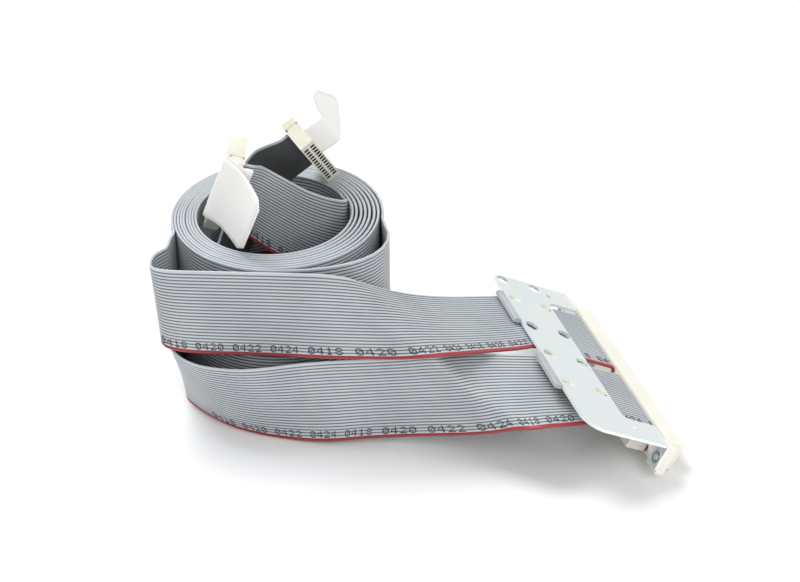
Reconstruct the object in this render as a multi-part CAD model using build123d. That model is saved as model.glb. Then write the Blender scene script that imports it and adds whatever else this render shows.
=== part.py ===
"""Two flat ribbon cables wound into one coil, with a bracketed backplane connector and two sockets.

Millimetres, +Z up, on the plane z = 0.  The shapes are drawn round the coil's axis, with the bracket to its
right, and the finished nodes are moved so that the middle of the whole object stands on the origin.
A ribbon is given by stations: pairs of points, its plain edge first and its red edge second.
"""
from build123d import *
import os
from math import cos, pi, radians, sin

os.makedirs("parts", exist_ok=True)

# Ribbon cable
WAYS = 26
WIRE_PITCH = 1.27
RIBBON_W = WAYS * WIRE_PITCH
RIBBON_T = 0.9
FIT = 0.05

# Coil: spiral centre line, wound anticlockwise seen from above, drawn towards the left inside
TURNS = 8.47
SIDES_PER_TURN = 36
COIL_START = 31.0
COIL_R_IN = 25.65
COIL_R_OUT = 36.05
HOLE_SHIFT_X = -2.2
HOLE_SHIFT_Y = 0.6
LOWER_Z = 0.0
UPPER_Z = RIBBON_W + 0.2
LOOSE_FROM = -88.0
LOOSE_TO = -3.0
LOOSE_SKEW = 1.9
LOOSE_BULGE = 6.3
LOWER_LATER = 215.0
JOIN_GAP = 0.2
JOIN_STRAIGHT = 1.6

# Bracket sheet, in its own frame: u along its length, v towards the connector, w up off the sheet
SHEET = 1.0
PLATE_L = 93.7
PLATE_V = 19.6
ARM_V = 33.4
ARM_U = 11.4
PLATE_R = 7.9
WINDOW_R = 3.0
TAB_DROP = 10.0
TAB_CHAMFER = 6.0
HOLE_R = 2.45
HOLE_FIRST_U = 3.3
HOLE_STEP_FIRST = 12.5
HOLE_STEP = 17.5
HOLE_STEPS = 3
HOLE_EDGE_V = 3.55
HOLE_COLUMN_V = 17.05
ARM_HOLE_R = 1.2
ARM_HOLE_U = 6.5
ARM_HOLE_V = 22.0
BRACKET_X = 71.4
BRACKET_Y = 24.7
BRACKET_TURN = -67.96
BRACKET_TILT = 27.6

# Backplane connector on the bracket's tabs
SCREW_SPAN = 88.9
SCREW_DROP = 6.3
SCREW_R = 1.4
EYELET_WALL = 0.45
EYELET_HEAD = 0.3
EYELET_HEAD_R = 2.2
FLANGE_T = 3.2
FLANGE_U = 7.0
HOUSING_H = 10.0
HOUSING_V = 9.0
RECESS_H = 6.0
RECESS_DEPTH = 5.0
RECESS_MARGIN = 8.0
PIN = 0.64
PIN_PITCH = 2.54
PIN_OUT = 4.4
COVER_V = 7.3
UPPER_RIBBON_U = 11.6
LOWER_RIBBON_U = 48.9
RIBBON_LEVEL = -2.0
FOLD_R = 0.9

# Pads and cable clamps under the plate
PAD_V = 18.0
UPPER_PAD_U = (12.5, 26.5)
LOWER_PAD_U = (49.5, 78.5)
CLAMP_V = 2.5
CLAMP_R = 0.6
UPPER_CLAMP_U = (12.5, 31.0)
LOWER_CLAMP_U = (52.5, 71.0)

# Cable sockets, in their own frame: x along the rows from the red end, y across, z in from the mouth
SOCKET_L = 38.1
SOCKET_W = 5.1
SOCKET_BODY = 7.9
SOCKET_COVER = 2.2
CONTACT_HOLE = 1.1
CONTACT_DEPTH = 6.6
CONTACT_T = 0.3
CONTACT_IN = 1.2
POST_L = 1.8
FILM_T = 0.5

SAMPLES = 4

# The middle of the whole object seen from above, moved to the frame's origin
CENTRE_X = 50.4
CENTRE_Y = -10.96

sides = round(TURNS * SIDES_PER_TURN)
lower_start = round(LOWER_LATER / 360 * SIDES_PER_TURN) / sides
socket_margin = (SOCKET_L - RIBBON_W) / 2
ribbon_depth = SOCKET_BODY + FIT + RIBBON_T / 2
clamp_top = -SHEET / 2
ribbon_top = RIBBON_LEVEL + RIBBON_T / 2
fold_v = ARM_V + 1.4
housing_from = fold_v + RIBBON_T / 2 + FIT
housing_to = ARM_V + HOUSING_V
housing_low = -SCREW_DROP - HOUSING_H / 2
tilt = radians(BRACKET_TILT)
turn = radians(BRACKET_TURN)
bracket_z = housing_to * sin(tilt) - housing_low * cos(tilt)
axis_u = Vector(cos(turn), sin(turn), 0)
axis_v = Vector(-sin(turn) * cos(tilt), cos(turn) * cos(tilt), -sin(tilt))
axis_w = axis_u.cross(axis_v)
bracket_frame = Plane(origin=(BRACKET_X, BRACKET_Y, bracket_z), x_dir=axis_u, z_dir=axis_w)


def bracket_point(u, v, w):
    return bracket_frame.from_local_coords((u, v, w))


# The left socket stands in the hole of the coil, the right one on the rim
left_frame = Plane(origin=(-20.7, 6.6, 64.7), x_dir=(0.337, -0.337, 0.879), z_dir=(0.015, -0.932, -0.363))
right_frame = Plane(origin=(14.6, 20.4, 66.9), x_dir=(-0.143, -0.682, 0.717), z_dir=(-0.658, 0.607, 0.446))


def coil_point(share):
    """The angle and radius of the spiral's centre line, at a share of its whole angle."""
    angle = COIL_START + 360 * TURNS * share
    a = radians(angle)
    drift = (1 - share) * (HOLE_SHIFT_X * cos(a) + HOLE_SHIFT_Y * sin(a))
    return a, COIL_R_IN + (COIL_R_OUT - COIL_R_IN) * share + drift


def loose_bulge(a):
    """How far the upper coil's last turn stands off at its right side."""
    last_turn = 360 * round((COIL_START + 360 * TURNS) / 360 - 0.5)
    share = (a * 180 / pi - last_turn - LOOSE_FROM) / (LOOSE_TO - LOOSE_FROM)
    if share <= 0 or share >= 1:
        return 0
    return LOOSE_BULGE * sin(pi * share ** LOOSE_SKEW)


def coil(z, start_share, loose):
    """A ribbon's wound turns from its tail outwards, all of them one solid."""
    outer, inner = [], []
    for i in range(round(start_share * sides), sides + 1):
        a, r = coil_point(i / sides)
        if loose:
            r += loose_bulge(a)
        outer.append(((r + RIBBON_T / 2) * cos(a), (r + RIBBON_T / 2) * sin(a)))
        inner.append(((r - RIBBON_T / 2) * cos(a), (r - RIBBON_T / 2) * sin(a)))
    face = make_face(Polyline(*outer, *reversed(inner), close=True))
    return Pos(0, 0, z) * extrude(face, amount=RIBBON_W)


def coil_end(share, z, side):
    """The two stations where a lead (side 1) or tail (side -1) carries on the line of its coil."""
    before, end, after = [Vector(r * cos(a), r * sin(a), z)
                          for a, r in (coil_point(share + k * side / sides) for k in (-1, 0, 1))]
    along = (after - before).normalized()
    stations = []
    for distance in (JOIN_GAP, JOIN_GAP + JOIN_STRAIGHT):
        red = end + along * distance
        stations.append((red + Vector(0, 0, RIBBON_W), red))
    return stations[::side]


def smooth(stations):
    """Catmull-Rom samples between the stations, which stay points of the curve."""
    pairs = [(Vector(*top), Vector(*red)) for top, red in stations]
    pairs = [pairs[0]] + pairs + [pairs[-1]]
    samples = []
    for k in range(1, len(pairs) - 2):
        for step in range(SAMPLES):
            t = step / SAMPLES
            samples.append(tuple(blend([pairs[k + j - 1][edge] for j in range(4)], t) for edge in (0, 1)))
    samples.append(pairs[-1])
    return samples


def blend(p, t):
    return (p[1] * 2 + (p[2] - p[0]) * t + (p[0] * 2 - p[1] * 5 + p[2] * 4 - p[3]) * t ** 2
            + (p[1] * 3 - p[0] - p[2] * 3 + p[3]) * t ** 3) * 0.5


def strip(pairs, width, thick):
    """A flat strip through pairs of edge points: rectangles joined corner to corner by triangles."""
    middles = [(top + red) * 0.5 for top, red in pairs]
    sections = []
    for k, (top, red) in enumerate(pairs):
        along = middles[min(k + 1, len(pairs) - 1)] - middles[max(k - 1, 0)]
        across = (top - red).normalized()
        up = along.cross(across).normalized() * (thick / 2)
        half = across * (width / 2)
        corners = [middles[k] + half + up, middles[k] + half - up, middles[k] - half - up, middles[k] - half + up]
        sections.append(corners)
    faces = [facet(sections[0]), facet(sections[-1])]
    for near, far in zip(sections, sections[1:]):
        for j in range(4):
            k = (j + 1) % 4
            faces.append(facet((near[j], near[k], far[k])))
            faces.append(facet((near[j], far[k], far[j])))
    return Solid(Shell(faces))


def facet(corners):
    return make_face(Polyline(*corners, close=True)).face()


def ribbon(stations):
    return strip(smooth(stations), RIBBON_W, RIBBON_T)


def under_plate(near_u, levels):
    """Stations under the bracket's plate: near_u is the plain edge, levels are (v, w, v of red, w of red)."""
    return [(bracket_point(near_u, v, w), bracket_point(near_u + RIBBON_W, red_v, red_w))
            for v, w, red_v, red_w in levels]


def fold_down(near_u):
    """Stations from the window over the covers and down between cover and housing."""
    bend = RIBBON_T / 2 + FOLD_R
    path = [(fold_v - 2 * bend, RIBBON_LEVEL), (fold_v - bend, RIBBON_LEVEL),
            (fold_v - bend * (1 - sin(pi / 4)), RIBBON_LEVEL - bend * (1 - cos(pi / 4))),
            (fold_v, RIBBON_LEVEL - bend), (fold_v, housing_low + 1)]
    return [(Vector(bracket_point(near_u, v, w)), Vector(bracket_point(near_u + RIBBON_W, v, w)))
            for v, w in path]


def lead(stations, near_u):
    return strip(smooth(stations) + fold_down(near_u), RIBBON_W, RIBBON_T)


def bracket():
    """The zinc plate with its window, ten holes and two tabs bent down."""
    outline = Pos(PLATE_L / 2, ARM_V / 2) * Rectangle(PLATE_L, ARM_V)
    outline = fillet(outline.vertices().filter_by(lambda c: c.Y < 1), PLATE_R)
    window = Pos(PLATE_L / 2, PLATE_V + ARM_V / 2) * Rectangle(PLATE_L - 2 * ARM_U, ARM_V)
    window = fillet(window.vertices().filter_by(lambda c: c.Y < ARM_V), WINDOW_R)
    holes = Sketch()
    columns = [HOLE_FIRST_U] + [HOLE_FIRST_U + HOLE_STEP_FIRST + HOLE_STEP * k for k in range(HOLE_STEPS + 1)]
    for u in columns:
        for v in (HOLE_EDGE_V, HOLE_COLUMN_V):
            holes += Pos(u, v) * Circle(HOLE_R)
    for u in (ARM_HOLE_U, PLATE_L - ARM_HOLE_U):
        holes += Pos(u, ARM_HOLE_V) * Circle(ARM_HOLE_R)
    plate = extrude(outline - window - holes, amount=-SHEET)
    for side in (1, -1):
        plate += tab(side)
    bend = plate.edges().filter_by(Axis.X).group_by(Axis.Y)[-1].group_by(Axis.Z)[-1]
    return fillet(bend, SHEET * 0.9)


def tab(side):
    """One tab, drawn for the far end and mirrored for the near one."""
    outline = Polyline((0, 0), (ARM_U, 0), (ARM_U, TAB_CHAMFER - TAB_DROP), (ARM_U - TAB_CHAMFER, -TAB_DROP),
                       (0, -TAB_DROP), close=True)
    face = make_face(outline) - Pos(screw_u(1), -SCREW_DROP) * Circle(SCREW_R + EYELET_WALL)
    solid = extrude(Plane.XZ.offset(-ARM_V) * face, amount=SHEET)
    if side < 0:
        solid = mirror(solid, Plane.YZ.offset(PLATE_L / 2))
    return solid


def screw_u(side):
    """The eyelet's distance along the bracket: side 1 is the far one, -1 the near one."""
    return PLATE_L / 2 - side * SCREW_SPAN / 2


def block(u, v, w):
    """A box from its low and high limits along u, v and w."""
    size = [limits[1] - limits[0] for limits in (u, v, w)]
    return Pos((u[0] + u[1]) / 2, (v[0] + v[1]) / 2, (w[0] + w[1]) / 2) * Box(*size)


def across_v(radius, v_from, v_to, side):
    """A cylinder along v at an eyelet's place."""
    middle = Pos(screw_u(side), (v_from + v_to) / 2, -SCREW_DROP)
    return middle * Rot(90, 0, 0) * Cylinder(radius, v_to - v_from)


def pin_places():
    """Where the contact pins stand: two rows for each ribbon."""
    for near_u in (UPPER_RIBBON_U, LOWER_RIBBON_U):
        for k in range(WAYS // 2):
            for row in (-0.5, 0.5):
                yield near_u + PIN_PITCH * (k + 0.5), -SCREW_DROP + row * PIN_PITCH


def connector_housing():
    high = housing_low + HOUSING_H
    body = block((FLANGE_U - 2, PLATE_L - FLANGE_U + 2), (housing_from, housing_to), (housing_low, high))
    for side in (1, -1):
        end = screw_u(side) + side * (FLANGE_U / 2 - (PLATE_L - SCREW_SPAN) / 2)
        body += block((end - FLANGE_U / 2, end + FLANGE_U / 2), (ARM_V, ARM_V + FLANGE_T), (housing_low, high))
        body -= across_v(SCREW_R + EYELET_WALL, ARM_V - 1, housing_to + 1, side)
    recess_w = (-SCREW_DROP - RECESS_H / 2, -SCREW_DROP + RECESS_H / 2)
    recess_v = (housing_to - RECESS_DEPTH, housing_to + 1)
    return body - block((RECESS_MARGIN, PLATE_L - RECESS_MARGIN), recess_v, recess_w)


def connector_pins():
    floor = housing_to - RECESS_DEPTH
    pins = [block((u - PIN / 2, u + PIN / 2), (floor, floor + PIN_OUT), (w - PIN / 2, w + PIN / 2))
            for u, w in pin_places()]
    return Compound(children=pins)


def eyelet(side):
    """A hollow rivet through a tab and its flange; its bore takes the backplane screw."""
    back = ARM_V + FLANGE_T
    body = across_v(SCREW_R + EYELET_WALL, ARM_V - SHEET, back, side)
    body += across_v(EYELET_HEAD_R, ARM_V - SHEET - EYELET_HEAD, ARM_V - SHEET, side)
    body += across_v(EYELET_HEAD_R, back, back + EYELET_HEAD, side)
    return body - across_v(SCREW_R, ARM_V - 3, back + 3, side)


def connector_cover(near_u):
    """The block that presses a ribbon onto the backplane connector's contacts."""
    back = fold_v - RIBBON_T / 2 - FIT
    top = RIBBON_LEVEL - RIBBON_T / 2 - FIT
    body = block((near_u + 0.3, near_u + RIBBON_W - 0.3), (back - COVER_V, back), (housing_low + 0.6, top))
    bend = body.edges().filter_by(Axis.X).group_by(Axis.Z)[-1].group_by(Axis.Y)[-1]
    return fillet(bend, FOLD_R + 4 * FIT)


def pad(limits):
    """A foam pad between the plate and what passes under it."""
    return block(limits, (1, 1 + PAD_V), (ribbon_top + FIT, -SHEET))


def clamp(limits):
    """The dark strip that grips a ribbon at the plate's left edge."""
    body = block(limits, (-CLAMP_V, 0), (ribbon_top, clamp_top + SHEET / 2))
    return fillet(body.edges().filter_by(Axis.X).group_by(Axis.Z)[-1].group_by(Axis.Y)[0], CLAMP_R)


def contact_places():
    for k in range(WAYS // 2):
        for row in (-0.5, 0.5):
            yield SOCKET_L / 2 + PIN_PITCH * (k - (WAYS // 2 - 1) / 2), SOCKET_W / 2 + row * PIN_PITCH


def socket_body():
    body = block((0, SOCKET_L), (0, SOCKET_W), (0, SOCKET_BODY))
    for x, y in contact_places():
        body -= Pos(x, y, CONTACT_DEPTH / 2) * Box(CONTACT_HOLE, CONTACT_HOLE, CONTACT_DEPTH)
    return body


def socket_contacts():
    """One spring leaf against a wall of each contact hole."""
    inset = (CONTACT_HOLE - CONTACT_T) / 2
    leaves = []
    for x, y in contact_places():
        leaves.append(Pos(x + inset, y, (CONTACT_IN + CONTACT_DEPTH) / 2)
                      * Box(CONTACT_T, CONTACT_HOLE * 0.7, CONTACT_DEPTH - CONTACT_IN))
    return Compound(children=leaves)


def socket_cover():
    """The bar that presses the ribbon into the contacts, with a post at each end."""
    under = SOCKET_BODY + RIBBON_T + 2 * FIT
    bar = block((0, SOCKET_L), (0, SOCKET_W), (under, under + SOCKET_COVER))
    bar = chamfer(bar.edges().filter_by(Axis.X).group_by(Axis.Z)[-1], 0.5)
    for x in (0.2, SOCKET_L - POST_L - 0.2):
        bar += block((x, x + POST_L), (0.8, SOCKET_W - 0.8), (SOCKET_BODY, under))
    return bar


def socket_station(frame, y):
    """The ribbon's edges at a distance y from a socket's edge, in the slit between body and cover."""
    return (frame.from_local_coords((SOCKET_L - socket_margin, y, ribbon_depth)),
            frame.from_local_coords((socket_margin, y, ribbon_depth)))


def film(frame, path, last=None):
    """A pull tab: path gives (x from, x to, y, z) in the socket's frame, last a pair in the object's."""
    pairs = [(frame.from_local_coords((x_to, y, z)), frame.from_local_coords((x_from, y, z)))
             for x_from, x_to, y, z in path]
    if last:
        pairs.append(last)
    pairs = [(Vector(*top), Vector(*low)) for top, low in pairs]
    return strip(pairs, (pairs[0][0] - pairs[0][1]).length, FILM_T)


upper_lead = coil_end(1, UPPER_Z, 1) + [
    ((-33.4, -18.5, 66.2), (-33.6, -18.3, 33.4)),
    ((-33.2, -24.0, 66.2), (-34.0, -23.0, 33.4)),
    ((-36.2, -29.0, 66.2), (-36.6, -27.5, 33.4)),
    ((-37.6, -33.6, 66.2), (-36.0, -32.2, 33.4)),
    ((-33.0, -37.2, 66.3), (-30.6, -35.9, 33.4)),
    ((-22.0, -37.5, 66.4), (-20.5, -37.4, 33.5)),
    ((2.0, -37.2, 66.6), (2.0, -37.2, 33.6)),
    ((16.0, -41.2, 69.4), (16.6, -41.2, 36.4)),
    ((26.3, -41.9, 68.8), (38.6, -43.0, 38.9)),
    ((32.6, -32.6, 60.4), (57.1, -44.6, 41.6)),
    ((42.6, -16.0, 46.2), (67.0, -36.2, 37.2)),
    ((55.6, -0.2, 34.8), (76.2, -25.9, 31.4)),
    ((72.0, 11.6, 28.0), (84.6, -18.2, 27.6)),
] + under_plate(UPPER_RIBBON_U, [(1.0, -2.2, 1.0, -2.2), (6.0, -2.0, 6.0, -2.0), (14.0, -2.0, 14.0, -2.0),
                                 (28.0, -2.0, 28.0, -2.0)])

lower_lead = coil_end(1, LOWER_Z, 1) + [
    ((-34.3, -16.3, 32.8), (-33.0, -16.0, 0.2)),
    ((-36.4, -20.4, 32.2), (-32.0, -19.0, 0.6)),
    ((-36.2, -26.6, 31.4), (-28.8, -22.8, 0.9)),
    ((-31.8, -35.0, 30.6), (-23.0, -28.0, 1.0)),
    ((-24.0, -41.0, 30.8), (-14.5, -33.6, 1.0)),
    ((-12.7, -43.5, 31.2), (-6.0, -36.6, 1.0)),
    ((-3.0, -43.5, 31.6), (1.0, -38.0, 0.9)),
    ((16.3, -40.2, 34.2), (18.7, -41.2, 1.4)),
    ((37.1, -40.0, 36.0), (33.9, -39.7, 3.2)),
    ((49.8, -41.6, 38.6), (56.4, -40.6, 6.4)),
    ((56.4, -42.4, 39.4), (77.5, -49.0, 15.4)),
    ((61.0, -34.2, 34.8), (84.0, -53.0, 20.0)),
] + under_plate(LOWER_RIBBON_U, [(-9.0, -4.8, -6.0, -11.6), (0.6, -2.4, 3.0, -8.4), (8.0, -2.0, 10.0, -5.4),
                                 (15.0, -2.0, 16.0, -3.0), (23.0, -2.0, 23.0, -2.0), (28.0, -2.0, 28.0, -2.0)])

upper_tail = [
    socket_station(left_frame, SOCKET_W - FIT),
    socket_station(left_frame, 0),
    socket_station(left_frame, -4.0),
    ((-4.1, -1.4, 85.0), (-5.8, 0.0, 52.0)),
    ((2.1, 1.9, 79.0), (1.0, 2.4, 46.0)),
    ((8.7, 3.2, 74.0), (8.3, 3.6, 41.0)),
    ((15.2, 5.3, 70.0), (15.2, 5.5, 37.0)),
    ((18.9, 8.4, 67.4), (18.9, 8.4, 34.4)),
] + coil_end(0, UPPER_Z, -1)

lower_tail = [
    socket_station(right_frame, SOCKET_W - FIT),
    socket_station(right_frame, 0),
    socket_station(right_frame, -3.5),
    ((-4.1, 3.7, 90.0), (0.5, 24.3, 65.0)),
    ((-10.4, 9.2, 82.0), (-6.5, 22.5, 52.0)),
    ((-17.0, 12.0, 68.0), (-15.0, 18.0, 35.6)),
    ((-21.0, 6.4, 54.0), (-21.8, 8.6, 21.0)),
    ((-24.9, -1.7, 44.5), (-25.2, -1.3, 11.5)),
    ((-23.8, -11.1, 38.0), (-23.9, -11.0, 5.0)),
    ((-19.4, -17.5, 34.0), (-19.4, -17.4, 1.0)),
    ((-14.9, -22.0, 33.1), (-14.9, -22.0, 0.1)),
] + coil_end(lower_start, LOWER_Z, -1)

left_film = film(left_frame, [(9.0, 36.5, 3.2, 11.5), (9.5, 37.0, -1.2, 11.9), (9.8, 37.3, -2.6, 12.7),
                              (9.8, 37.3, -1.4, 13.7), (10.5, 38.0, 6.0, 14.6), (11.0, 38.5, 8.4, 15.2)],
                 ((0.6, -36.0, 91.0), (-8.6, -27.5, 67.2)))
right_film = film(right_frame, [(-2.8, 23.4, 1.0, 11.5), (-3.2, 23.0, 5.2, 11.5), (-5.4, 20.2, 12.4, 11.5)],
                  ((10.6, 17.3, 104.9), (16.2, 37.6, 91.7)))

NODES = {
    "ribbon_upper_coil": coil(UPPER_Z, 0, loose=True),
    "ribbon_lower_coil": coil(LOWER_Z, lower_start, loose=False),
    "ribbon_upper_lead": lead(upper_lead, UPPER_RIBBON_U),
    "ribbon_lower_lead": lead(lower_lead, LOWER_RIBBON_U),
    "ribbon_upper_tail": ribbon(upper_tail),
    "ribbon_lower_tail": ribbon(lower_tail),
    "bracket": bracket_frame * bracket(),
    "backplane_housing": bracket_frame * connector_housing(),
    "backplane_pins": bracket_frame * connector_pins(),
    "backplane_cover_upper": bracket_frame * connector_cover(UPPER_RIBBON_U),
    "backplane_cover_lower": bracket_frame * connector_cover(LOWER_RIBBON_U),
    "eyelet_far": bracket_frame * eyelet(1),
    "eyelet_near": bracket_frame * eyelet(-1),
    "pad_upper": bracket_frame * pad(UPPER_PAD_U),
    "pad_lower": bracket_frame * pad(LOWER_PAD_U),
    "clamp_upper": bracket_frame * clamp(UPPER_CLAMP_U),
    "clamp_lower": bracket_frame * clamp(LOWER_CLAMP_U),
    "pull_tab_left": left_film,
    "pull_tab_right": right_film,
}
for side, frame in (("left", left_frame), ("right", right_frame)):
    NODES["socket_%s_body" % side] = frame * socket_body()
    NODES["socket_%s_cover" % side] = frame * socket_cover()
    NODES["socket_%s_contacts" % side] = frame * socket_contacts()

for name, solid in NODES.items():
    export_step(Pos(-CENTRE_X, -CENTRE_Y, 0) * solid, "parts/%s.step" % name)
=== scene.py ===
"""The looks of the coiled ribbon cable: ridged ribbons, connectors, bracket, floor, lights and camera.

Lengths are named in millimetres, as in the part's source, and become metres when a mesh is made.
A ribbon is given by stations: pairs of points, its plain edge first and its red edge second.
"""
import bpy
from math import cos, pi, radians, sin
from mathutils import Matrix, Vector


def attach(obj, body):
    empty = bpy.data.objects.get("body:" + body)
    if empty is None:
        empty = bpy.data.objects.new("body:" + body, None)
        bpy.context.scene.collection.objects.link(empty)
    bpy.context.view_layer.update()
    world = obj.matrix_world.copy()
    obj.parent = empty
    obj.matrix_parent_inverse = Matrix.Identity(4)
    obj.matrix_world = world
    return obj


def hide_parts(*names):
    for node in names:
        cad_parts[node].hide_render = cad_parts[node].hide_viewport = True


MM = 0.001

# Ribbon cable: SHOULDER, BACK_FLAT, EDGE_IN, BACK_FROM and BACK_TO count in wires across
WAYS = 26
WIRE_PITCH = 1.27
RIBBON_W = WAYS * WIRE_PITCH
RIBBON_T = 0.9
VALLEY = 0.20
SMOOTH_VALLEY = 0.43
SHOULDER = 0.22
SHOULDER_H = 0.86
BACK_FLAT = 0.3
EDGE_IN = 0.08
EDGE_SHOULDER_H = 0.3
EDGE_H = 0.1
BACK_FROM = 0.6
BACK_TO = WAYS - 0.2
SPLINE_STEPS = 8

# Coil: turned angles in degrees
TURNS = 8.47
SIDES_PER_TURN = 36
SMOOTH_SIDES = 54
COIL_START = 31.0
COIL_R_IN = 25.65
COIL_R_OUT = 36.05
HOLE_SHIFT_X = -2.2
HOLE_SHIFT_Y = 0.6
LOWER_Z = 0.0
UPPER_Z = RIBBON_W + 0.2
LOOSE_FROM = -88.0
LOOSE_TO = -3.0
LOOSE_SKEW = 1.9
LOOSE_BULGE = 6.3
LOWER_LATER = 215.0
JOIN_GAP = 0.2
JOIN_STRAIGHT = 1.6
UNEVEN = 0.07
UNEVEN_WAVES = 1.37

# Bracket's frame and what the ribbons pass there
ARM_V = 33.4
BRACKET_X = 71.4
BRACKET_Y = 24.7
BRACKET_TURN = -67.96
BRACKET_TILT = 27.6
HOUSING_V = 9.0
HOUSING_H = 10.0
SCREW_DROP = 6.3
UPPER_RIBBON_U = 11.6
LOWER_RIBBON_U = 48.9
RIBBON_LEVEL = -2.0
FOLD_R = 0.9
FOLD_PAST = 1.4
FOLD_EASE = 0.4
END_IN = 1.0

# Sockets
SOCKET_L = 38.1
SOCKET_W = 5.1
SOCKET_BODY = 7.9
FIT = 0.05

# Contact holes in the sockets' mouths
CONTACT_HOLE = 1.6
CONTACT_DEPTH = 6.6
CONTACT_PITCH = 2 * WIRE_PITCH

# Pull tabs' film
FILM_T = 0.45
FILM_CORNER = 3.0
FILM_ACROSS = 16

# Bracket's sheet, with places measured along u and v from its far corner
SHEET = 1.0
SHEET_BEND = 1.3
SHEET_EDGE = 0.12
PLATE_L = 93.7
PLATE_V = 19.6
ARM_U = 11.4
FAR_R = 3.8
NEAR_R = 7.9
WINDOW_R = 3.0
TAB_DROP = 10.0
TAB_CHAMFER = 6.0
HOLE_R = 2.45
HOLE_US = (3.3, 15.8, 33.3, 50.8, 68.3)
HOLE_VS = (3.55, 17.05)
ARM_HOLE_R = 1.2
ARM_HOLE_U = 6.5
ARM_HOLE_V = 22.0
RELIEF_R = 0.9
RELIEF_U = 85.9
RELIEF_V = 30.9
EYELET_U = 2.4
EYELET_R = 1.85
CIRCLE_SIDES = 32
CORNER_STEPS = 10
BEND_STEPS = 8
EDGE_ANGLE = 50

# Printed length marks: five by seven dots a digit, and where each ribbon's marks start
DIGITS = {
    "0": (" ### ", "#   #", "#  ##", "# # #", "##  #", "#   #", " ### "),
    "1": ("  #  ", " ##  ", "  #  ", "  #  ", "  #  ", "  #  ", " ### "),
    "2": (" ### ", "#   #", "    #", "   # ", "  #  ", " #   ", "#####"),
    "4": ("   # ", "  ## ", " # # ", "#  # ", "#####", "   # ", "   # "),
    "8": (" ### ", "#   #", "#   #", " ### ", "#   #", "#   #", " ### "),
}
MARKS = "0418 0420 0422 0424 "
DOT = 0.40
PRINT_TOP = 22.35
INK_HEIGHT = 0.03
LETTER_STEP = 6.5
MARKS_FROM = {"upper_lead": 22.0, "lower_lead": 24.0, "upper_tail": 14.0}

# The object's middle, and the camera found from the photograph
CENTRE = Vector((50.4, -10.96, 0))
CAMERA_AT = Vector((94.307, -571.097, 418.991))
CAMERA_RIGHT = Vector((0.99613, 0.08754, -0.00839))
CAMERA_UP = Vector((-0.04160, 0.55314, 0.83205))
CAMERA_LENS = 90.0
SENSOR = 36.0

# Grain of the surfaces, in waves per metre
NOISE_DETAIL = 3.0
RIBBON_GRAIN = 900.0
METAL_GRAIN = 1800.0
PLASTIC_GRAIN = 2500.0

# Lights, each (place, size, power) in metres and watts, and the floor's half side in metres
LIGHTS = {"key": ((-0.35, 0.25, 0.95), 0.5, 6.6), "fill": ((0.5, -0.7, 0.7), 0.6, 3.6)}
LIGHT_AIM = Vector((0, 0, 0.03))
WORLD_STRENGTH = 0.55
FLOOR_HALF = 6.0
FLOOR_COLOR = (0.96, 0.96, 0.965)

sides = round(TURNS * SIDES_PER_TURN)
lower_start = round(LOWER_LATER / 360 * SIDES_PER_TURN) / sides
fold_v = ARM_V + FOLD_PAST
housing_low = -SCREW_DROP - HOUSING_H / 2
tilt = radians(BRACKET_TILT)
turn = radians(BRACKET_TURN)
axis_u = Vector((cos(turn), sin(turn), 0))
axis_v = Vector((-sin(turn) * cos(tilt), cos(turn) * cos(tilt), -sin(tilt)))
axis_w = axis_u.cross(axis_v)
bracket_z = (ARM_V + HOUSING_V) * sin(tilt) - housing_low * cos(tilt)
bracket_origin = Vector((BRACKET_X, BRACKET_Y, bracket_z))

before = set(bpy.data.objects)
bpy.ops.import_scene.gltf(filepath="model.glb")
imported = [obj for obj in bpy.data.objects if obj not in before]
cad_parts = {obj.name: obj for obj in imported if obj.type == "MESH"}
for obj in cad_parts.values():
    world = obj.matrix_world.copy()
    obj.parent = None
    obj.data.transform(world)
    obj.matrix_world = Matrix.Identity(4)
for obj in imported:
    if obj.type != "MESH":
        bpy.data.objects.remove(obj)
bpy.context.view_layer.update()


def in_frame(point):
    """A point of the source's drawing, in metres in the object's frame."""
    return (Vector(point) - CENTRE) * MM


def new_object(name, data):
    obj = bpy.data.objects.new(name, data)
    bpy.context.collection.objects.link(obj)
    return obj


def new_mesh(name, vertices, faces, materials):
    mesh = bpy.data.meshes.new(name)
    mesh.from_pydata(vertices, [], faces)
    for material in materials:
        mesh.materials.append(material)
    return mesh


def grid_faces(rows, columns, closed):
    """Faces between rows of points, where each row closes on itself or stays open."""
    faces = []
    for k in range(rows - 1):
        for j in range(columns if closed else columns - 1):
            n = (j + 1) % columns
            faces.append((k * columns + j, k * columns + n, (k + 1) * columns + n, (k + 1) * columns + j))
    return faces


def declare(obj, replaced):
    """Puts a piece on the one body and hides the CAD node it stands for."""
    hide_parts(replaced)
    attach(obj, "root")


def camera():
    data = bpy.data.cameras.new("camera")
    data.lens = CAMERA_LENS
    data.sensor_width = SENSOR
    obj = new_object("camera", data)
    right = CAMERA_RIGHT.normalized()
    back = right.cross(CAMERA_UP).normalized()
    up = back.cross(right)
    turned = Matrix((right, up, back)).transposed().to_4x4()
    obj.matrix_world = Matrix.Translation(in_frame(CAMERA_AT)) @ turned
    bpy.context.scene.camera = obj


# Shapes of the ribbons

def bracket_point(u, v, w):
    return bracket_origin + axis_u * u + axis_v * v + axis_w * w


class Socket:
    """A socket's own frame: x along the rows from the red end, y across, z in from the mouth."""

    def __init__(self, origin, x_dir, z_dir):
        self.origin = Vector(origin)
        self.z = Vector(z_dir).normalized()
        self.x = (Vector(x_dir) - self.z * self.z.dot(Vector(x_dir))).normalized()
        self.y = self.z.cross(self.x)

    def point(self, x, y, z):
        return self.origin + self.x * x + self.y * y + self.z * z

    def station(self, y):
        margin = (SOCKET_L - RIBBON_W) / 2
        depth = SOCKET_BODY + FIT + RIBBON_T / 2
        return self.point(SOCKET_L - margin, y, depth), self.point(margin, y, depth)


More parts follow.
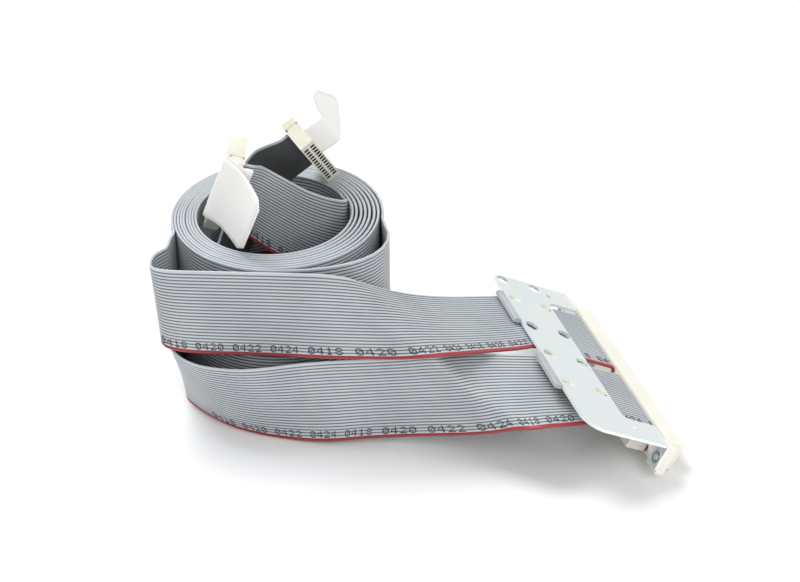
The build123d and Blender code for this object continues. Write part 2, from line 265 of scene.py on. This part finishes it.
left_socket = Socket((-20.7, 6.6, 64.7), (0.337, -0.337, 0.879), (0.015, -0.932, -0.363))
right_socket = Socket((14.6, 20.4, 66.9), (-0.143, -0.682, 0.717), (-0.658, 0.607, 0.446))


def coil_point(share):
    """The angle and radius of the spiral's centre line, at a share of its whole angle."""
    a = radians(COIL_START + 360 * TURNS * share)
    drift = (1 - share) * (HOLE_SHIFT_X * cos(a) + HOLE_SHIFT_Y * sin(a))
    return a, COIL_R_IN + (COIL_R_OUT - COIL_R_IN) * share + drift


def loose_bulge(a):
    """How far the upper coil's last turn stands off at its right side."""
    last_turn = 360 * round((COIL_START + 360 * TURNS) / 360 - 0.5)
    share = (a * 180 / pi - last_turn - LOOSE_FROM) / (LOOSE_TO - LOOSE_FROM)
    if share <= 0 or share >= 1:
        return 0
    return LOOSE_BULGE * sin(pi * share ** LOOSE_SKEW)


def coil_pairs(z, start_share, loose):
    """The wound turns, slightly uneven from one turn to the next."""
    count = round(TURNS * SMOOTH_SIDES * (1 - start_share))
    pairs = []
    for i in range(count + 1):
        share = start_share + (1 - start_share) * i / count
        a, r = coil_point(share)
        if loose:
            r += loose_bulge(a)
        r += UNEVEN * sin(UNEVEN_WAVES * a) * sin(pi * i / count)
        x, y = r * cos(a), r * sin(a)
        pairs.append((Vector((x, y, z + RIBBON_W)), Vector((x, y, z))))
    return pairs


def coil_end(share, z, side):
    """The two stations where a lead (side 1) or tail (side -1) carries on the line of its coil."""
    before, end, after = [Vector((r * cos(a), r * sin(a), z))
                          for a, r in (coil_point(share + k * side / sides) for k in (-1, 0, 1))]
    along = (after - before).normalized()
    stations = []
    for distance in (JOIN_GAP, JOIN_GAP + JOIN_STRAIGHT):
        red = end + along * distance
        stations.append((red + Vector((0, 0, RIBBON_W)), red))
    return stations[::side]


def under_plate(near_u, levels):
    """Stations under the bracket's plate: near_u is the plain edge, levels are (v, w, v of red, w of red)."""
    return [(bracket_point(near_u, v, w), bracket_point(near_u + RIBBON_W, red_v, red_w))
            for v, w, red_v, red_w in levels]


def fold_down(near_u):
    """Stations from the window over the covers and down between cover and housing."""
    bend = RIBBON_T / 2 + FOLD_R
    ease = bend * FOLD_EASE
    path = [(fold_v - 2 * bend, RIBBON_LEVEL), (fold_v - ease, RIBBON_LEVEL), (fold_v, RIBBON_LEVEL - ease),
            (fold_v, RIBBON_LEVEL - 2 * bend), (fold_v, housing_low + END_IN)]
    return [(bracket_point(near_u, v, w), bracket_point(near_u + RIBBON_W, v, w)) for v, w in path]


upper_lead = coil_end(1, UPPER_Z, 1) + [
    ((-34.1, -17.6, 65.8), (-34.1, -17.6, 33.2)),
    ((-33.9, -23.2, 65.6), (-34.3, -22.8, 33.2)),
    ((-35.5, -25.2, 65.7), (-35.8, -25.4, 33.2)),
    ((-37.5, -28.2, 65.9), (-36.8, -28.6, 33.3)),
    ((-37.8, -32.6, 66.1), (-36.4, -32.2, 33.3)),
    ((-37.1, -36.2, 66.2), (-34.0, -35.4, 33.4)),
    ((-32.0, -37.8, 66.3), (-28.6, -37.0, 33.4)),
    ((-22.0, -37.8, 66.4), (-20.5, -37.6, 33.5)),
    ((2.0, -37.2, 66.6), (2.0, -37.2, 33.6)),
    ((16.0, -41.2, 69.4), (16.6, -41.2, 36.4)),
    ((26.3, -41.9, 68.8), (38.6, -43.0, 38.9)),
    ((32.6, -32.6, 60.4), (57.1, -44.6, 41.6)),
    ((42.6, -16.0, 46.2), (67.0, -36.2, 37.2)),
    ((55.6, -0.2, 34.8), (76.2, -25.9, 31.4)),
    ((72.0, 11.6, 28.0), (84.6, -18.2, 27.6)),
] + under_plate(UPPER_RIBBON_U, [(1.0, -2.2, 1.0, -2.2), (6.0, -2.0, 6.0, -2.0), (14.0, -2.0, 14.0, -2.0),
                                 (28.0, -2.0, 28.0, -2.0)]) + fold_down(UPPER_RIBBON_U)

lower_lead = coil_end(1, LOWER_Z, 1) + [
    ((-34.3, -16.3, 32.8), (-33.0, -16.0, 0.2)),
    ((-36.4, -20.4, 32.2), (-32.0, -19.0, 0.6)),
    ((-36.2, -26.6, 31.4), (-28.8, -22.8, 0.9)),
    ((-31.8, -35.0, 30.6), (-23.0, -28.0, 1.0)),
    ((-24.0, -41.0, 30.8), (-14.5, -33.6, 1.0)),
    ((-12.7, -43.5, 31.2), (-6.0, -36.6, 1.0)),
    ((-3.0, -43.5, 31.6), (1.0, -38.0, 0.9)),
    ((16.3, -40.2, 34.2), (18.7, -41.2, 1.4)),
    ((37.1, -40.0, 36.0), (33.9, -39.7, 3.2)),
    ((49.8, -41.6, 38.6), (56.4, -40.6, 6.4)),
    ((56.4, -42.4, 39.4), (77.5, -49.0, 15.4)),
    ((61.0, -34.2, 34.8), (84.0, -53.0, 20.0)),
] + under_plate(LOWER_RIBBON_U, [(-9.0, -4.8, -6.0, -11.6), (0.6, -2.4, 3.0, -8.4), (8.0, -2.0, 10.0, -5.4),
                                 (15.0, -2.0, 16.0, -3.0), (23.0, -2.0, 23.0, -2.0),
                                 (28.0, -2.0, 28.0, -2.0)]) + fold_down(LOWER_RIBBON_U)

upper_tail = [
    left_socket.station(SOCKET_W - FIT),
    left_socket.station(0),
    left_socket.station(-4.0),
    ((-4.1, -1.4, 85.0), (-5.8, 0.0, 52.0)),
    ((2.1, 1.9, 79.0), (1.0, 2.4, 46.0)),
    ((8.7, 3.2, 74.0), (8.3, 3.6, 41.0)),
    ((14.2, 5.4, 70.4), (14.2, 5.6, 37.4)),
    ((18.0, 7.7, 68.0), (18.0, 7.7, 35.0)),
    ((21.2, 8.2, 67.3), (21.2, 8.2, 34.3)),
    ((22.2, 9.7, 67.0), (22.2, 9.7, 34.0)),
] + coil_end(0, UPPER_Z, -1)

lower_tail = [
    right_socket.station(SOCKET_W - FIT),
    right_socket.station(0),
    right_socket.station(-3.5),
    ((-4.1, 3.7, 90.0), (0.5, 24.3, 65.0)),
    ((-10.4, 9.2, 84.0), (-6.5, 22.5, 53.0)),
    ((-17.2, 12.0, 71.0), (-15.0, 18.0, 37.6)),
    ((-21.0, 6.4, 54.0), (-21.8, 8.6, 21.0)),
    ((-24.9, -1.7, 44.5), (-25.2, -1.3, 11.5)),
    ((-23.8, -11.1, 38.0), (-23.9, -11.0, 5.0)),
    ((-19.4, -17.5, 34.0), (-19.4, -17.4, 1.0)),
    ((-14.9, -22.0, 33.1), (-14.9, -22.0, 0.1)),
] + coil_end(lower_start, LOWER_Z, -1)


def spline_points(points):
    """The points of a NURBS spline with these control points, in the drawing's millimetres."""
    data = bpy.data.curves.new("route", "CURVE")
    data.dimensions = "3D"
    data.resolution_u = SPLINE_STEPS
    line = data.splines.new("NURBS")
    line.points.add(len(points) - 1)
    for target, point in zip(line.points, points):
        target.co = (*point, 1)
    line.order_u = 3
    line.use_endpoint_u = True
    obj = new_object("route", data)
    mesh = bpy.data.meshes.new_from_object(obj)
    found = [vertex.co.copy() for vertex in mesh.vertices]
    bpy.data.objects.remove(obj)
    bpy.data.meshes.remove(mesh)
    return found


def spline_pairs(stations):
    tops = spline_points([top for top, red in stations])
    reds = spline_points([red for top, red in stations])
    return list(zip(tops, reds))


def profile(back_valley):
    """Points round the ribbon's section: (conductors from the plain edge, height over its middle plane)."""
    half = RIBBON_T / 2
    side = half * SHOULDER_H
    ridge = [(0.0, VALLEY), (SHOULDER, side), (0.5, half), (1 - SHOULDER, side)]
    points = [(0.0, EDGE_H), (EDGE_IN, EDGE_SHOULDER_H)]
    for wire in range(WAYS):
        points += [(wire + a, h) for a, h in ridge[0 if wire else 1:]]
    points += [(WAYS - EDGE_IN, EDGE_SHOULDER_H), (WAYS, EDGE_H),
               (WAYS, -EDGE_H), (WAYS - EDGE_IN, -EDGE_SHOULDER_H)]
    for wire in reversed(range(WAYS)):
        valley = back_valley if wire else EDGE_H
        points += [(wire + 1 - BACK_FLAT, -half), (wire + BACK_FLAT, -half), (wire, -valley)]
    return points


def ridge_height(wires):
    """How high the ridged face stands over the middle plane."""
    off = abs(wires % 1 - 0.5) * 2
    return VALLEY + (RIBBON_T / 2 - VALLEY) * (1 - off ** 3)


class Route:
    """A ribbon's run, measured along its middle line."""

    def __init__(self, pairs):
        self.middles = [(top + red) * 0.5 for top, red in pairs]
        self.across, self.up, self.distances = [], [], [0.0]
        for k, (top, red) in enumerate(pairs):
            along = self.middles[min(k + 1, len(pairs) - 1)] - self.middles[max(k - 1, 0)]
            self.across.append((red - top).normalized())
            self.up.append(self.across[k].cross(along).normalized())
            if k:
                self.distances.append(self.distances[-1] + (self.middles[k] - self.middles[k - 1]).length)

    def point(self, k, wires, height):
        edge = self.middles[k] - self.across[k] * (RIBBON_W / 2)
        return edge + self.across[k] * (wires * WIRE_PITCH) + self.up[k] * height

    def at(self, distance, wires, height):
        k = 1
        while k < len(self.distances) - 1 and self.distances[k] < distance:
            k += 1
        span = self.distances[k] - self.distances[k - 1]
        return self.point(k - 1, wires, height).lerp(
            self.point(k, wires, height), (distance - self.distances[k - 1]) / span)


def surface(wires, height, materials):
    """Which material a face has: a smooth back, painted dark as shade, runs on behind the red wire, a ridged
    one doesn't.
    """
    face, back, red = materials
    if height < 0 and BACK_FROM < wires < BACK_TO and back != face:
        return 1
    return 2 if wires > WAYS - 1 else 0


def map_ribbon(mesh, route, section, materials):
    """Gives each face its material, and a map that runs in metres along and in wires across.

    The rims take the colour of a ridge's top, half a wire in.
    """
    count = len(section)
    uv = mesh.uv_layers.new(name="UVMap")
    for polygon in mesh.polygons:
        rows = [index % count for index in polygon.vertices]
        wires = sum(section[row][0] for row in rows) / len(rows)
        height = sum(section[row][1] for row in rows) / len(rows)
        if len(rows) == 4:
            polygon.material_index = surface(wires, height, materials)
        for corner in polygon.loop_indices:
            index = mesh.loops[corner].vertex_index
            across = min(max(section[index % count][0], 0.5), WAYS - 0.5)
            uv.data[corner].uv = (route.distances[index // count] * MM, across)


def ridged_ribbon(name, route, replaced, materials, back_valley):
    """A ribbon with a round ridge for each wire on its face, and a ridged or a smooth back."""
    section = profile(back_valley)
    count = len(section)
    last = len(route.middles) - 1
    vertices = [in_frame(route.point(k, wires, height)) for k in range(last + 1) for wires, height in section]
    faces = grid_faces(last + 1, count, closed=True)
    faces.append(tuple(range(count))[::-1])
    faces.append(tuple(range(last * count, (last + 1) * count)))
    mesh = new_mesh(name, vertices, faces, materials)
    map_ribbon(mesh, route, section, materials)
    mesh.shade_smooth()
    mesh.validate()
    declare(new_object(name, mesh), replaced)


# Printed numbers

def printed_marks(name, route, start, ink):
    """Rows of dots on the ridged face beside the red wire, from a distance along the ribbon to its end."""
    vertices, faces = [], []
    letter_width = LETTER_STEP * DOT
    step = DOT / WIRE_PITCH
    for place in range(int((route.distances[-1] - start) / letter_width)):
        pattern = DIGITS.get(MARKS[place % len(MARKS)], ())
        for row, line in enumerate(pattern):
            for column, dot in enumerate(line):
                if dot != "#":
                    continue
                along = start + place * letter_width + column * DOT
                wires = PRINT_TOP + row * step
                corners = ((along, wires), (along + DOT, wires),
                           (along + DOT, wires + step), (along, wires + step))
                faces.append(tuple(range(len(vertices), len(vertices) + 4)))
                for distance, across in corners:
                    height = ridge_height(across) + INK_HEIGHT
                    vertices.append(in_frame(route.at(distance, across, height)))
    mesh = new_mesh(name, vertices, faces, [ink])
    obj = new_object(name, mesh)
    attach(obj, "root")


# Pull tabs

def film_half_width(from_end, half):
    """The tab's half width near its free end, where its corners are round."""
    if from_end >= FILM_CORNER:
        return half
    return half - FILM_CORNER + (FILM_CORNER ** 2 - (FILM_CORNER - from_end) ** 2) ** 0.5


def pull_tab(name, pairs, replaced, material):
    """A bent polyester tab with rounded corners at its free end."""
    run = spline_pairs(pairs)
    middles = [(top + low) * 0.5 for top, low in run]
    lengths = [0.0]
    for before, after in zip(middles, middles[1:]):
        lengths.append(lengths[-1] + (after - before).length)
    vertices = []
    columns = FILM_ACROSS + 1
    for middle, (top, low), length in zip(middles, run, lengths):
        half = film_half_width(lengths[-1] - length, (top - low).length / 2)
        across = (low - top).normalized()
        for j in range(columns):
            vertices.append(in_frame(middle + across * half * (2 * j / FILM_ACROSS - 1)))
    mesh = new_mesh(name, vertices, grid_faces(len(run), columns, closed=False), [material])
    mesh.shade_smooth()
    obj = new_object(name, mesh)
    shell = obj.modifiers.new("thickness", "SOLIDIFY")
    shell.thickness = FILM_T * MM
    shell.offset = 0
    declare(obj, replaced)


def tab_pairs(socket, path, last):
    """A tab's edges: path gives (x from, x to, y, z) in the socket's frame, last its free end."""
    pairs = [(socket.point(x_to, y, z), socket.point(x_from, y, z)) for x_from, x_to, y, z in path]
    return pairs + [tuple(Vector(point) for point in pair) for pair in last]


left_tab = tab_pairs(
    left_socket,
    [(9.0, 36.5, 3.2, 11.45), (9.5, 37.0, -1.0, 11.5), (9.8, 37.3, -3.2, 11.7), (9.8, 37.3, -3.0, 13.2),
     (10.6, 40.5, 2.4, 13.6), (11.6, 43.6, 7.2, 13.8), (11.6, 43.6, 7.4, 14.8)],
    [((-5.0, -26.5, 95.6), (-15.5, -18.0, 71.2)), ((0.4, -36.0, 91.2), (-8.6, -27.5, 67.2))])
right_tab = tab_pairs(
    right_socket,
    [(-2.8, 23.4, 1.0, 11.5), (-3.0, 23.2, 5.2, 11.5), (-5.4, 20.2, 11.0, 11.6), (-5.4, 20.2, 13.2, 12.2)],
    [((11.5, 17.9, 97.0), (16.8, 37.3, 82.6)), ((10.6, 17.6, 104.7), (16.2, 37.4, 91.4))])


# Bracket

def rounded(corners):
    """An outline from corners (x, y, radius)."""
    points = []
    for k, (x, y, radius) in enumerate(corners):
        corner = Vector((x, y))
        before = (Vector(corners[k - 1][:2]) - corner).normalized()
        after = (Vector(corners[(k + 1) % len(corners)][:2]) - corner).normalized()
        if not radius:
            points.append(corner)
            continue
        half = before.angle(after) / 2
        middle = corner + (before + after).normalized() * (radius / sin(half))
        start = corner + before * (radius * cos(half) / sin(half)) - middle
        end = corner + after * (radius * cos(half) / sin(half)) - middle
        points += [middle + start.lerp(end, step / CORNER_STEPS).normalized() * radius
                   for step in range(CORNER_STEPS + 1)]
    return points


def circle(x, y, radius):
    angles = [2 * pi * k / CIRCLE_SIDES for k in range(CIRCLE_SIDES)]
    return [Vector((x + radius * cos(a), y + radius * sin(a))) for a in angles]


def flat_sheet(outlines):
    """A flat sheet about z = 0 with an outer outline and its holes: (vertices, faces)."""
    data = bpy.data.curves.new("sheet", "CURVE")
    data.dimensions = "2D"
    data.fill_mode = "BOTH"
    data.extrude = SHEET / 2
    for outline in outlines:
        line = data.splines.new("POLY")
        line.points.add(len(outline) - 1)
        line.use_cyclic_u = True
        for target, point in zip(line.points, outline):
            target.co = (point.x, point.y, 0, 1)
    obj = new_object("sheet", data)
    mesh = bpy.data.meshes.new_from_object(obj)
    found = [vertex.co.copy() for vertex in mesh.vertices], [tuple(face.vertices) for face in mesh.polygons]
    bpy.data.objects.remove(obj)
    bpy.data.meshes.remove(mesh)
    return found


def sheet_bend(u_from, u_to):
    """The bend between the plate's arm and its tab, as points of the bracket's frame."""
    vertices = []
    inner = SHEET_BEND - SHEET
    for step in range(BEND_STEPS + 1):
        a = pi / 2 * step / BEND_STEPS
        for u, radius in ((u_from, SHEET_BEND), (u_to, SHEET_BEND), (u_to, inner), (u_from, inner)):
            v = ARM_V - SHEET_BEND + radius * sin(a)
            vertices.append(bracket_point(u, v, radius * cos(a) - SHEET_BEND))
    return vertices, grid_faces(BEND_STEPS + 1, 4, closed=True)


def plate_outlines():
    """The plate's outline with its window, and its round holes."""
    end = ARM_V - SHEET_BEND
    plate = rounded([(0, 0, FAR_R), (PLATE_L, 0, NEAR_R),
                     (PLATE_L, end, 0), (PLATE_L - ARM_U, end, 0),
                     (PLATE_L - ARM_U, PLATE_V, WINDOW_R), (ARM_U, PLATE_V, WINDOW_R),
                     (ARM_U, end, 0), (0, end, 0)])
    holes = [circle(u, v, HOLE_R) for u in HOLE_US for v in HOLE_VS]
    holes += [circle(u, ARM_HOLE_V, ARM_HOLE_R) for u in (ARM_HOLE_U, PLATE_L - ARM_HOLE_U)]
    holes.append(circle(RELIEF_U, RELIEF_V, RELIEF_R))
    return [plate] + holes


def tab_outlines():
    """A tab's outline with one corner cut off, and its eyelet's hole."""
    tab = [(0, -SHEET_BEND, 0), (ARM_U, -SHEET_BEND, 0), (ARM_U, TAB_CHAMFER - TAB_DROP, 0),
           (ARM_U - TAB_CHAMFER, -TAB_DROP, 0), (0, -TAB_DROP, 0)]
    return [rounded(tab), circle(EYELET_U, -SCREW_DROP, EYELET_R)]


def bracket_parts():
    """The plate, and a tab and a bend at each arm's end, each as (vertices, faces)."""
    vertices, faces = flat_sheet(plate_outlines())
    parts = [([bracket_point(p.x, p.y, p.z - SHEET / 2) for p in vertices], faces)]
    vertices, faces = flat_sheet(tab_outlines())
    for side in (1, -1):
        base = 0 if side > 0 else PLATE_L
        placed = [bracket_point(base + side * p.x, ARM_V - SHEET / 2 - p.z, p.y) for p in vertices]
        parts.append((placed, faces))
        parts.append(sheet_bend(*sorted((base, base + side * ARM_U))))
    return parts


def bracket(material):
    """The plate with its window and holes, and a tab bent down at each arm's end."""
    all_vertices, all_faces = [], []
    for vertices, faces in bracket_parts():
        all_faces += [tuple(index + len(all_vertices) for index in face) for face in faces]
        all_vertices += [in_frame(point) for point in vertices]
    mesh = new_mesh("bracket_sheet", all_vertices, all_faces, [material])
    obj = new_object("bracket_sheet", mesh)
    edge = obj.modifiers.new("edge", "BEVEL")
    edge.width = SHEET_EDGE * MM
    edge.limit_method = "ANGLE"
    edge.angle_limit = radians(EDGE_ANGLE)
    declare(obj, "bracket")


# Sockets' bodies

def hole_edges(middles, end):
    """Where the mouth is divided along one direction: at both sides of each hole."""
    return [0.0] + [middle + side * CONTACT_HOLE / 2 for middle in middles for side in (-1, 1)] + [end]


def socket_body(name, socket, replaced, materials):
    """A body whose mouth has two rows of square contact holes, their insides painted dark as shade."""
    columns = [SOCKET_L / 2 + CONTACT_PITCH * (k - (WAYS // 2 - 1) / 2) for k in range(WAYS // 2)]
    rows = [SOCKET_W / 2 + CONTACT_PITCH * row for row in (-0.5, 0.5)]
    xs = hole_edges(columns, SOCKET_L)
    ys = hole_edges(rows, SOCKET_W)
    vertices, faces, kinds = [], [], []

    def face(kind, *points):
        faces.append(tuple(range(len(vertices), len(vertices) + len(points))))
        kinds.append(kind)
        vertices.extend(in_frame(socket.point(*point)) for point in points)

    for i, (x, x_next) in enumerate(zip(xs, xs[1:])):
        for j, (y, y_next) in enumerate(zip(ys, ys[1:])):
            deep = CONTACT_DEPTH if i % 2 and j % 2 else 0.0
            around = ((x, y), (x, y_next), (x_next, y_next), (x_next, y))
            # faces inside the holes take the second material, the painted shade
            face(1 if deep else 0, *[(a, b, deep) for a, b in around])
            if deep:
                for (a, b), (c, d) in zip(around, around[1:] + around[:1]):
                    face(1, (a, b, 0), (c, d, 0), (c, d, deep), (a, b, deep))
    corners = ((0, 0), (SOCKET_L, 0), (SOCKET_L, SOCKET_W), (0, SOCKET_W))
    face(0, *[(a, b, SOCKET_BODY) for a, b in corners])
    for (a, b), (c, d) in zip(corners, corners[1:] + corners[:1]):
        face(0, (a, b, 0), (c, d, 0), (c, d, SOCKET_BODY), (a, b, SOCKET_BODY))
    mesh = new_mesh(name, vertices, faces, materials)
    for polygon, kind in zip(mesh.polygons, kinds):
        polygon.material_index = kind
    declare(new_object(name, mesh), replaced)


# Materials

def new_material(name, color, roughness, metallic=0.0):
    material = bpy.data.materials.new(name)
    material.use_nodes = True
    shader = material.node_tree.nodes["Principled BSDF"]
    shader.inputs["Base Color"].default_value = (*color, 1)
    shader.inputs["Roughness"].default_value = roughness
    shader.inputs["Metallic"].default_value = metallic
    return material, material.node_tree, shader


def new_node(tree, kind, **values):
    made = tree.nodes.new(kind)
    for key, value in values.items():
        setattr(made, key, value)
    return made


def noise(tree, scale):
    place = new_node(tree, "ShaderNodeTexCoord")
    made = new_node(tree, "ShaderNodeTexNoise")
    made.inputs["Scale"].default_value = scale
    made.inputs["Detail"].default_value = NOISE_DETAIL
    tree.links.new(place.outputs["Object"], made.inputs["Vector"])
    return made.outputs["Fac"]


def ramp(tree, source, stops):
    """Colours along a value: stops are (place, colour)."""
    made = new_node(tree, "ShaderNodeValToRGB")
    elements = made.color_ramp.elements
    while len(elements) < len(stops):
        elements.new(0.5)
    for element, (place, color) in zip(elements, stops):
        element.position = place
        element.color = (*color, 1)
    tree.links.new(source, made.inputs["Fac"])
    return made.outputs["Color"]


def bump(tree, shader, source, strength, distance):
    made = new_node(tree, "ShaderNodeBump")
    made.inputs["Strength"].default_value = strength
    made.inputs["Distance"].default_value = distance
    tree.links.new(source, made.inputs["Height"])
    tree.links.new(made.outputs["Normal"], shader.inputs["Normal"])


def multiply(tree, first, second):
    made = new_node(tree, "ShaderNodeMix", data_type="RGBA", blend_type="MULTIPLY")
    made.inputs["Factor"].default_value = 1.0
    tree.links.new(first, made.inputs["A"])
    tree.links.new(second, made.inputs["B"])
    return made.outputs["Result"]


def ribbon_material(name, groove_shade, ridge, roughness):
    """Ribbon plastic: painted shade darkens the grooves between the wires, with slow changes along its
    length.
    """
    material, tree, shader = new_material(name, ridge, roughness)
    place = new_node(tree, "ShaderNodeUVMap", uv_map="UVMap")
    split = new_node(tree, "ShaderNodeSeparateXYZ")
    wave = new_node(tree, "ShaderNodeMath", operation="PINGPONG")
    wave.inputs[1].default_value = 0.5
    tree.links.new(place.outputs["UV"], split.inputs["Vector"])
    tree.links.new(split.outputs["Y"], wave.inputs[0])
    # painted shade: the base colour goes dark in the grooves between the wires, where shade falls
    groove_shade_lines = ramp(tree, wave.outputs["Value"], [(0.0, groove_shade), (0.10, groove_shade), (0.30, ridge), (0.5, ridge)])
    cloud = ramp(tree, noise(tree, 60.0), [(0.3, (0.86, 0.86, 0.87)), (0.7, (1, 1, 1))])
    tree.links.new(multiply(tree, groove_shade_lines, cloud), shader.inputs["Base Color"])
    bump(tree, shader, noise(tree, RIBBON_GRAIN), 0.08, 0.0002)
    return material


def plastic(name, dark, light, roughness, scale=120.0):
    """Moulded plastic with a slightly clouded colour and a fine eroded skin."""
    material, tree, shader = new_material(name, light, roughness)
    tree.links.new(ramp(tree, noise(tree, scale), [(0.35, dark), (0.65, light)]), shader.inputs["Base Color"])
    bump(tree, shader, noise(tree, PLASTIC_GRAIN), 0.12, 0.0001)
    return material


def metal(name, stops, roughness, scale, metallic=0.9):
    """Metal with a slightly clouded colour and a fine grain."""
    material, tree, shader = new_material(name, stops[0][1], roughness, metallic)
    tree.links.new(ramp(tree, noise(tree, scale), stops), shader.inputs["Base Color"])
    bump(tree, shader, noise(tree, METAL_GRAIN), 0.06, 0.0001)
    return material


def paint(obj, material):
    """Gives a carried-over node its material."""
    obj.data.materials.clear()
    obj.data.materials.append(material)


def connectors():
    """The bracket, the sockets' bodies, and the materials of the CAD nodes that stay."""
    cream = plastic("cream", (0.87, 0.85, 0.74), (0.92, 0.90, 0.81), 0.40, 60.0)
    socket = plastic("socket_cream", (0.74, 0.71, 0.60), (0.82, 0.80, 0.70), 0.38)
    foam = plastic("foam", (0.66, 0.63, 0.53), (0.76, 0.73, 0.63), 0.8, 400.0)
    clip = plastic("clip", (0.40, 0.41, 0.42), (0.50, 0.51, 0.53), 0.40)
    zinc = metal("zinc", [(0.3, (0.84, 0.95, 0.96)), (0.5, (0.92, 0.98, 0.97)), (0.7, (0.90, 0.94, 0.97))],
                 0.28, 45.0, metallic=0.5)
    tin = metal("tin", [(0.3, (0.75, 0.75, 0.74)), (0.7, (0.88, 0.88, 0.87))], 0.22, 300.0)
    # painted shade: the contacts are near-black so the contact holes look dark inside
    contact_shade = metal("contact_shade", [(0.3, (0.10, 0.09, 0.07)), (0.7, (0.20, 0.18, 0.14))], 0.4, 900.0)
    gold = metal("gold", [(0.3, (0.70, 0.52, 0.22)), (0.7, (0.86, 0.68, 0.34))], 0.3, 900.0)
    bracket(zinc)
    # painted shade: the walls inside the contact holes are near-black
    hole_shade = plastic("socket_hole_shade", (0.030, 0.028, 0.022), (0.055, 0.050, 0.040), 0.7)
    socket_body("socket_left_mesh", left_socket, "socket_left_body", (socket, hole_shade))
    socket_body("socket_right_mesh", right_socket, "socket_right_body", (socket, hole_shade))
    kinds = {"eyelet": tin, "pad": foam, "clamp": clip, "backplane_pins": gold, "backplane": cream,
             "socket_left_contacts": contact_shade, "socket_right_contacts": contact_shade, "socket": socket}
    for name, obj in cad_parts.items():
        for kind, material in kinds.items():
            if name.startswith(kind):
                paint(obj, material)
                break


# Stage

def floor():
    h = FLOOR_HALF
    corners = [(-h, -h, 0), (h, -h, 0), (h, h, 0), (-h, h, 0)]
    mesh = new_mesh("floor", corners, [(0, 1, 2, 3)], [])
    obj = new_object("floor", mesh)
    material, tree, shader = new_material("floor", FLOOR_COLOR, 0.9)
    shader.inputs["Specular IOR Level"].default_value = 0.0
    mesh.materials.append(material)


def area_light(name, place, size, power):
    data = bpy.data.lights.new(name, "AREA")
    data.size = size
    data.energy = power
    obj = new_object(name, data)
    obj.location = place
    obj.rotation_euler = (Vector(place) - LIGHT_AIM).to_track_quat("Z", "Y").to_euler()


def lights():
    world = bpy.data.worlds.new("studio")
    bpy.context.scene.world = world
    world.use_nodes = True
    world.node_tree.nodes["Background"].inputs["Color"].default_value = (1, 1, 1, 1)
    world.node_tree.nodes["Background"].inputs["Strength"].default_value = WORLD_STRENGTH
    for name, (place, size, power) in LIGHTS.items():
        area_light(name, place, size, power)


camera()
routes = {
    "upper_coil": Route(coil_pairs(UPPER_Z, 0, True)),
    "lower_coil": Route(coil_pairs(LOWER_Z, lower_start, False)),
    "upper_lead": Route(spline_pairs(upper_lead)),
    "lower_lead": Route(spline_pairs(lower_lead)),
    "upper_tail": Route(spline_pairs(upper_tail)),
    "lower_tail": Route(spline_pairs(lower_tail)),
}
grey = ribbon_material("ribbon_grey", groove_shade=(0.14, 0.155, 0.17), ridge=(0.60, 0.64, 0.67), roughness=0.34)
# painted shade: a near-black copy of the grey ribbon plastic for the lower ribbons' smooth backs
shaded_back = ribbon_material(
    "ribbon_back_shade", groove_shade=(0.105, 0.106, 0.108), ridge=(0.14, 0.142, 0.145), roughness=0.42)
red = ribbon_material("ribbon_red", groove_shade=(0.16, 0.012, 0.016), ridge=(0.46, 0.035, 0.045), roughness=0.4)
for name, route in routes.items():
    if name.startswith("upper"):
        ridged_ribbon(name, route, "ribbon_" + name, (grey, grey, red), VALLEY)
    else:
        # the lower ribbons' backs take the painted shade
        ridged_ribbon(name, route, "ribbon_" + name, (grey, shaded_back, red), SMOOTH_VALLEY)
ink = plastic("ink", (0.035, 0.036, 0.042), (0.07, 0.072, 0.08), 0.6)
for name, start in MARKS_FROM.items():
    printed_marks("marks_" + name, routes[name], start, ink)
film = plastic("film", (0.96, 0.955, 0.92), (0.99, 0.985, 0.96), 0.45, 30.0)
pull_tab("pull_tab_left_film", left_tab, "pull_tab_left", film)
pull_tab("pull_tab_right_film", right_tab, "pull_tab_right", film)
connectors()
floor()
lights()
bpy.context.scene.view_settings.view_transform = "Standard"
